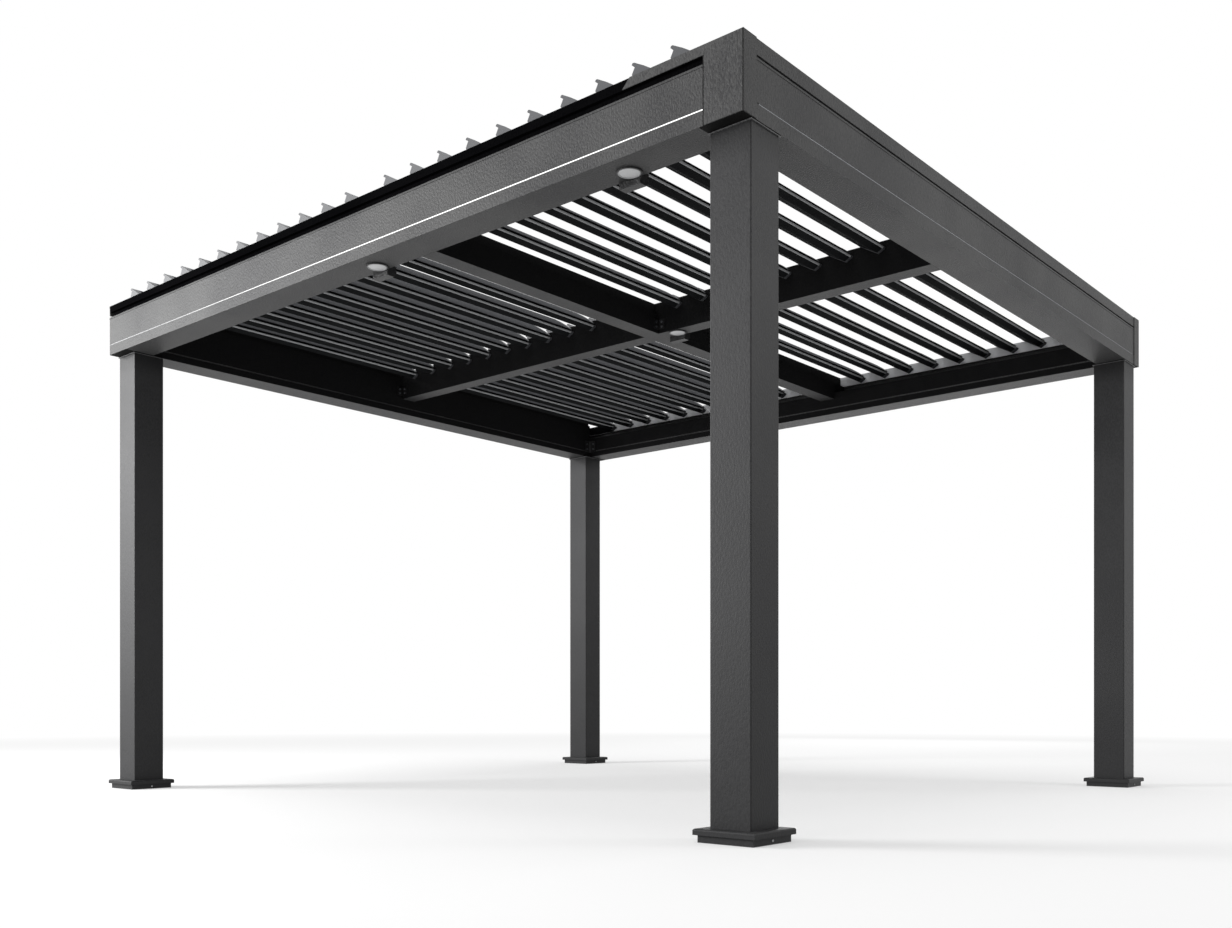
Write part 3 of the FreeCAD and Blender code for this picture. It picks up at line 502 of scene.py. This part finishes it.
# the blade's outline round its pivot when closed, from the nose on, anticlockwise from below
LIP_END = -PITCH / 2 - 0.018
LIP_ROOT = LIP_END + 0.0175
TROUGH_END = PITCH / 2 - 0.008
SLEEVE = 0.0008
SLEEVE_LENGTH = 0.034
CAP_FACE = 0.0010
sleeve_outline = [
    (LIP_ROOT, 0.000), (LIP_ROOT + 0.030, -0.014), (TROUGH_END - 0.016, -0.014), (TROUGH_END, 0.012),
    (TROUGH_END, 0.021), (TROUGH_END - 0.002, 0.021), (TROUGH_END - 0.002, 0.012),
    (TROUGH_END - 0.009, 0.004), (TROUGH_END - 0.019, 0.004), (TROUGH_END - 0.019, 0.029),
    (LIP_ROOT + 0.096, 0.034), (LIP_ROOT + 0.036, 0.037), (LIP_END + 0.0062, 0.0363), (LIP_END + 0.0020, 0.0337),
    (LIP_END + 0.0020, 0.0275), (LIP_ROOT, 0.0272),
]


def place_of(line):
    x = (line - 0.5) * PITCH - INNER_X
    return x if line <= LINES_LEFT else x + CROSS_WIDTH


def fit_blades(kind, outline, spans, ends, finish):
    """Fit strips of one outline on every blade, over the same spans in both fields.

    Ends says how the outline draws in at given distances from a strip's ends.
    """
    for line, louvre in enumerate(BLADES, start=1):
        pivot = Matrix.Translation((place_of(line), 0, PIVOT_LEVEL)) @ Matrix.Rotation(REST_TILT, 4, "Y")
        strips = []
        for sign in (-1, 1):
            for outer, inner in spans:
                low, high = sorted((sign * outer, sign * inner))
                # the outline stands in X and Z, so its height runs along -Y
                corners, faces = slab(outline, [(step - high, inset) for step, inset in ends]
                                      + [(-low - step, inset) for step, inset in reversed(ends)])
                strips.append(([tuple(pivot @ Vector((x, -z, y))) for x, y, z in corners], faces))
        fit(f"{louvre}_{kind}", strips, finish, louvre)


OUTER_SLEEVE_END = BLADE_OUT - SLEEVE_LENGTH
INNER_SLEEVE_END = BLADE_IN + SLEEVE_LENGTH / 2
fit_blades(
    "caps", sleeve_outline,
    [(BLADE_OUT + CAP_FACE, OUTER_SLEEVE_END), (INNER_SLEEVE_END, BLADE_IN - CAP_FACE)],
    [(0, 0), (0.0006, -SLEEVE)], cap_grey,
)

# Blade seals: a soft grey bead pressed on the outside of each trough, against
# which the lip of the next blade closes. Their pale grey also paints in the light that shows through the slits
# between the blades.
seal_grey_and_slit_light = rubber("grey_tpe", "#aeafb1", "#bebfc1")
seal_outline = [
    (TROUGH_END - 0.0002, 0.0112), (TROUGH_END + 0.0012, 0.0128), (TROUGH_END + 0.0016, 0.0160),
    (TROUGH_END + 0.0012, 0.0192), (TROUGH_END - 0.0002, 0.0208),
]
fit_blades("seals", seal_outline, [(OUTER_SLEEVE_END, INNER_SLEEVE_END)], [(0, 0)], seal_grey_and_slit_light)

# Pivot bushes: black nylon flanges snapped in the rails and the centre beam,
# round each pin.
nylon = moulded("black_nylon", "#0c0c0c", "#151515", 0.45)
RAIL_INNER = 1.8175
FLANGE_RADIUS = 0.009
flange = slab(round_outline(FLANGE_RADIUS, 16), [(0, 0), (0.0012, 0), (0.0018, 0.0008)])
bushes = []
for line in range(1, len(BLADES) + 1):
    for sign in (-1, 1):
        for wall, facing in ((RAIL_INNER, -sign), (CENTRE_HALF, sign)):
            bushes.append(set_at(flange, (place_of(line), sign * wall, PIVOT_LEVEL), (0, facing, 0)))
fit("pivot_bushes", bushes, nylon)

# Corner covers: folded sheet over the right-hand mitres, with a dark open joint
# down the bend. A black rubber trim is pushed on the cut edge of each long side.
cover_coat = powder_coat("cover_powder_coat", *ANTHRACITE)
COVER_X = 1.975
COVER_Y = 1.845
COVER_LEG = 0.149
JOINT_WIDTH = 0.0040
cover_tree = cover_coat.node_tree
cover_place = add(cover_tree, "ShaderNodeTexCoord").outputs["Object"]
cover_size = add(cover_tree, "ShaderNodeVectorMath", {0: cover_place}, operation="ABSOLUTE")
cover_split = add(cover_tree, "ShaderNodeSeparateXYZ", {0: cover_size.outputs[0]})
cover_sum = add(cover_tree, "ShaderNodeMath", {0: cover_split.outputs["X"], 1: cover_split.outputs["Y"]},
                operation="ADD")
joint = add(cover_tree, "ShaderNodeMath", {0: cover_sum.outputs[0], 1: COVER_X + COVER_Y - JOINT_WIDTH},
            operation="GREATER_THAN")
overlay(cover_coat, joint, "#050505")
wear(["corner_covers"], cover_coat)
COVER_END = COVER_X - COVER_LEG
EDGE_TRIM = 0.0040
EDGE_TRIM_STEP = 0.0031
# how far a trim reaches into the face that carries it
BITE = 0.0002
STRIP_LOW = 2.448
edge_trims = []
for side in (-1, 1):
    outline = box_outline(
        COVER_END - EDGE_TRIM, side * (BEAM_Y - BITE), COVER_END + 0.0001, side * (BEAM_Y + EDGE_TRIM_STEP),
    )
    edge_trims.append(slab(outline, [
        (UNDERSIDE + 0.0002, 0.0004), (UNDERSIDE + 0.0006, 0), (STRIP_LOW - 0.0010, 0), (STRIP_LOW - 0.0004, 0.0004),
    ]))
fit("cover_edge_trims", edge_trims, black_rubber)

# Panel trims: the rolled top edge of each fascia, a flat step over a fine joint,
# coated with the fascia.
PANEL_TOP = 2.422
TRIM_LOW = PANEL_TOP - 0.0080
TRIM_HIGH = PANEL_TOP - 0.0004
TRIM_STEP = 0.0009
JOINT_HEIGHT = 0.0012
JOINT_STEP = 0.0003
LEFT_END = -1.9700
RIGHT_HALF_RUN = 1.7690
LEFT_HALF_RUN = 1.7100
trims = []
joints = []
for step, levels, bars in (
    (TRIM_STEP, [(TRIM_LOW, 0), (TRIM_HIGH - 0.0008, 0), (TRIM_HIGH, 0.0004)], trims),
    (JOINT_STEP, [(TRIM_LOW - JOINT_HEIGHT, 0.0001), (TRIM_LOW - 0.0002, 0), (TRIM_LOW, 0)], joints),
):
    for side in (-1, 1):
        half_run = RIGHT_HALF_RUN if side > 0 else LEFT_HALF_RUN
        bars.append(slab(box_outline(
            LEFT_END, side * (BEAM_Y - BITE), COVER_END - EDGE_TRIM, side * (BEAM_Y + step),
        ), levels))
        bars.append(slab(box_outline(
            side * (BEAM_X - BITE), -half_run, side * (BEAM_X + step), half_run,
        ), levels))
fit("panel_trims", trims, anthracite)
fit("panel_joints", joints, black_rubber)

# End lips: thin flats of cut sheet bonded over the left-hand mitres, which poke
# out past the ends of the rail and the fascia.
wear(["end_lips"], anthracite)

# Light strip: an opal diffuser, snapped in the front groove and lit from behind
# by a ribbon of diodes. Its glow and its colour are painted to fade from the covered corner, so that it looks grey
# towards the far end.
opal, opal_tree = new_finish("opal_diffuser")
opal_place = add(opal_tree, "ShaderNodeTexCoord").outputs["Object"]
# the diodes sit 16 mm apart behind the diffuser and show as a faint ripple; a wave
# texture of scale 1 repeats every 0.314 m
DIODE_PITCH = 0.016
ripple = add(opal_tree, "ShaderNodeTexWave", {"Vector": opal_place, "Scale": 0.314 / DIODE_PITCH, "Distortion": 0.5},
             bands_direction="X")
glow = add(opal_tree, "ShaderNodeMix", {0: ripple.outputs["Fac"], 6: linear("#f2f2ee"), 7: linear("#ffffff")},
           data_type="RGBA")
opal_split = add(opal_tree, "ShaderNodeSeparateXYZ", {0: opal_place})
# painted light and shade: the glow and the diffuser's colour fade from the covered corner to the far end
painted_fade = add(opal_tree, "ShaderNodeMapRange", {
    "Value": opal_split.outputs["X"], "From Min": 0.9, "From Max": -1.6,
}, interpolation_type="SMOOTHSTEP")
glow = add(opal_tree, "ShaderNodeMix", {0: painted_fade.outputs[0], 6: glow.outputs[2], 7: linear("#4c4c4b")},
           data_type="RGBA")
tint = add(opal_tree, "ShaderNodeMix", {0: painted_fade.outputs[0], 6: linear("#d8d8d6"), 7: linear("#5c5d5f")},
           data_type="RGBA")
opal_shader = add(opal_tree, "ShaderNodeBsdfPrincipled", {
    "Base Color": tint.outputs[2],
    "Roughness": 0.4,
    "Emission Color": glow.outputs[2],
    "Emission Strength": 1.0,
})
add(opal_tree, "ShaderNodeOutputMaterial", {"Surface": opal_shader.outputs[0]})
wear(["light_strip"], opal)

# Spot lights: a flat turned puck with a frosted lens in a bright bezel, and the
# black drum of its driver behind it. They are dimmed low.
puck_coat = powder_coat("puck_powder_coat", "#1c1c1d", "#262627", 0.45, 0.4)
wear(["spot_lights"], puck_coat)
frosted = moulded("frosted_polycarbonate", "#a6a7a8", "#b8b9ba", 0.35)
lens = shader_of(frosted)
lens.inputs["Emission Color"].default_value = linear("#ffffff")
lens.inputs["Emission Strength"].default_value = 0.12
# each one's X, the edge of the beam that it stands back from, and the beam's underside
SPOTS = [(1.439, -INNER_Y, UNDERSIDE), (0.089, -INNER_Y, UNDERSIDE), (0.300, CENTRE_HALF, INNER_UNDERSIDE)]
SPOT_BACK = 0.050
SPOT_FACE = 0.006
LENS_RADIUS = 0.0365
LENS_SEAT = 0.0030
BEZEL_SEAT = 0.0029
SPOT_SIDES = 40


def turned(profile, sides):
    """Turn a closed profile of radius and height, drawn anticlockwise, into a ring."""
    count = len(profile)
    corners = []
    for step in range(sides):
        angle = math.tau * step / sides
        corners += [(radius * math.cos(angle), radius * math.sin(angle), height) for radius, height in profile]
    faces = []
    for step in range(sides):
        base = step * count
        following = (step + 1) % sides * count
        for place in range(count):
            after = (place + 1) % count
            faces.append((base + place, following + place, following + after, base + after))
    return corners, faces


bezel = turned([
    (0.0366, 0.0002), (0.0400, 0.0002), (0.0400, 0.0026), (0.0394, 0.0034), (0.0378, 0.0034), (0.0366, 0.0026),
], SPOT_SIDES)
dome = slab(round_outline(LENS_RADIUS, SPOT_SIDES), [
    (0, 0), (0.0012, 0.0004), (0.0020, 0.004), (0.0025, 0.012), (0.0027, 0.022), (0.0028, 0.033),
])
lenses = []
bezels = []
for x, edge, level in SPOTS:
    lenses.append(set_at(dome, (x, edge - SPOT_BACK, level - SPOT_FACE + LENS_SEAT), (0, 0, -1)))
    bezels.append(set_at(bezel, (x, edge - SPOT_BACK, level - SPOT_FACE + BEZEL_SEAT), (0, 0, -1)))
fit("spot_bezels", bezels, stainless)
fit("spot_lenses", lenses, frosted)

# Floor: a plain pale ground that fades to white, with the pergola's shadow on it.
FLOOR_RADIUS = 14
FLOOR_SIDES = 72
FLOOR_LEVEL = -0.0005
ring = [(x, y, FLOOR_LEVEL) for x, y in round_outline(FLOOR_RADIUS, FLOOR_SIDES)]
floor_mesh = bpy.data.meshes.new("floor")
floor_mesh.from_pydata(ring, [], [range(len(ring))])
floor = bpy.data.objects.new("floor", floor_mesh)
bpy.context.collection.objects.link(floor)
ground, ground_tree = new_finish("pale_floor")
ground_place = add(ground_tree, "ShaderNodeTexCoord").outputs["Object"]
reach = add(ground_tree, "ShaderNodeVectorMath", {0: ground_place}, operation="LENGTH")
# near the object the floor shows its shadow; far off it is plain white
fade = add(ground_tree, "ShaderNodeMapRange", {
    "Value": reach.outputs["Value"], "From Min": 4, "From Max": 12, "To Min": 0.40, "To Max": 1.0,
})
matt = add(ground_tree, "ShaderNodeBsdfDiffuse", {"Color": linear("#f4f4f4")})
ground_path = add(ground_tree, "ShaderNodeLightPath")
ground_seen = add(ground_tree, "ShaderNodeMath", {
    0: ground_path.outputs["Is Camera Ray"], 1: ground_path.outputs["Is Glossy Ray"],
}, operation="MAXIMUM")
ground_glow = add(ground_tree, "ShaderNodeMapRange", {"Value": ground_seen.outputs[0], "To Min": 0.1, "To Max": 1.0})
white = add(ground_tree, "ShaderNodeEmission", {"Color": linear("#ffffff"), "Strength": ground_glow.outputs[0]})
blend = add(ground_tree, "ShaderNodeMixShader", {0: fade.outputs[0], 1: matt.outputs[0], 2: white.outputs[0]})
add(ground_tree, "ShaderNodeOutputMaterial", {"Surface": blend.outputs[0]})
floor_mesh.materials.append(ground)

# Light: a white studio, with a large soft lamp near the left front corner that
# throws the posts' shadows to the right, and weaker ones on the other sides and above.
world = bpy.data.worlds.new("studio")
bpy.context.scene.world = world
world.use_nodes = True
world_tree = world.node_tree
world_tree.nodes.clear()
path = add(world_tree, "ShaderNodeLightPath")
seen = add(world_tree, "ShaderNodeMath", {0: path.outputs["Is Camera Ray"], 1: path.outputs["Is Glossy Ray"]},
           operation="MAXIMUM")
seen = add(world_tree, "ShaderNodeMath", {0: seen.outputs[0], 1: path.outputs["Is Transmission Ray"]},
           operation="MAXIMUM")
soft = add(world_tree, "ShaderNodeBackground", {"Color": linear("#ffffff"), "Strength": 0.42})
plain = add(world_tree, "ShaderNodeBackground", {"Color": linear("#ffffff"), "Strength": 1.0})
sky = add(world_tree, "ShaderNodeMixShader", {0: seen.outputs[0], 1: soft.outputs[0], 2: plain.outputs[0]})
add(world_tree, "ShaderNodeOutputWorld", {"Surface": sky.outputs[0]})


def soft_lamp(name, place, target, side, power):
    data = bpy.data.lights.new(name, "AREA")
    data.size = side
    data.energy = power
    lamp = bpy.data.objects.new(name, data)
    bpy.context.collection.objects.link(lamp)
    lamp.location = place
    lamp.rotation_euler = (Vector(target) - Vector(place)).to_track_quat("-Z", "Y").to_euler()


soft_lamp("key_lamp", (-6.0, -6.5, 3.0), (-0.5, 0, 1.2), 3.0, 950)
soft_lamp("front_lamp", (1.0, -9.0, 2.0), (1.0, 0, 1.4), 4.0, 100)
soft_lamp("side_lamp", (6.2, 2.3, 3.6), (1.5, 0.5, 1.2), 2.0, 70)
soft_lamp("back_lamp", (-2.5, 8.5, 3.0), (0, 0, 1.4), 4.0, 110)
soft_lamp("top_lamp", (0.0, 0.0, 9.0), (0, 0, 2.0), 7.0, 360)

# Camera: level, at knee height, shifted up as an architect's lens is, so that
# the posts stay upright in the picture.
camera_data = bpy.data.cameras.new("camera")
camera = bpy.data.objects.new("camera", camera_data)
bpy.context.collection.objects.link(camera)
FRAME_WIDTH = 1232
FRAME_HEIGHT = 928
FOCAL_PIXELS = 1209
HORIZON_PIXEL = 703.3
camera_data.sensor_width = 36
camera_data.lens = FOCAL_PIXELS / FRAME_WIDTH * camera_data.sensor_width
camera_data.shift_y = (HORIZON_PIXEL - FRAME_HEIGHT / 2) / FRAME_WIDTH
camera.location = (4.063, -4.865, 0.437)
camera.rotation_euler = (math.radians(90), 0, math.radians(40.67))
bpy.context.scene.camera = camera
bpy.context.scene.view_settings.view_transform = "Standard"
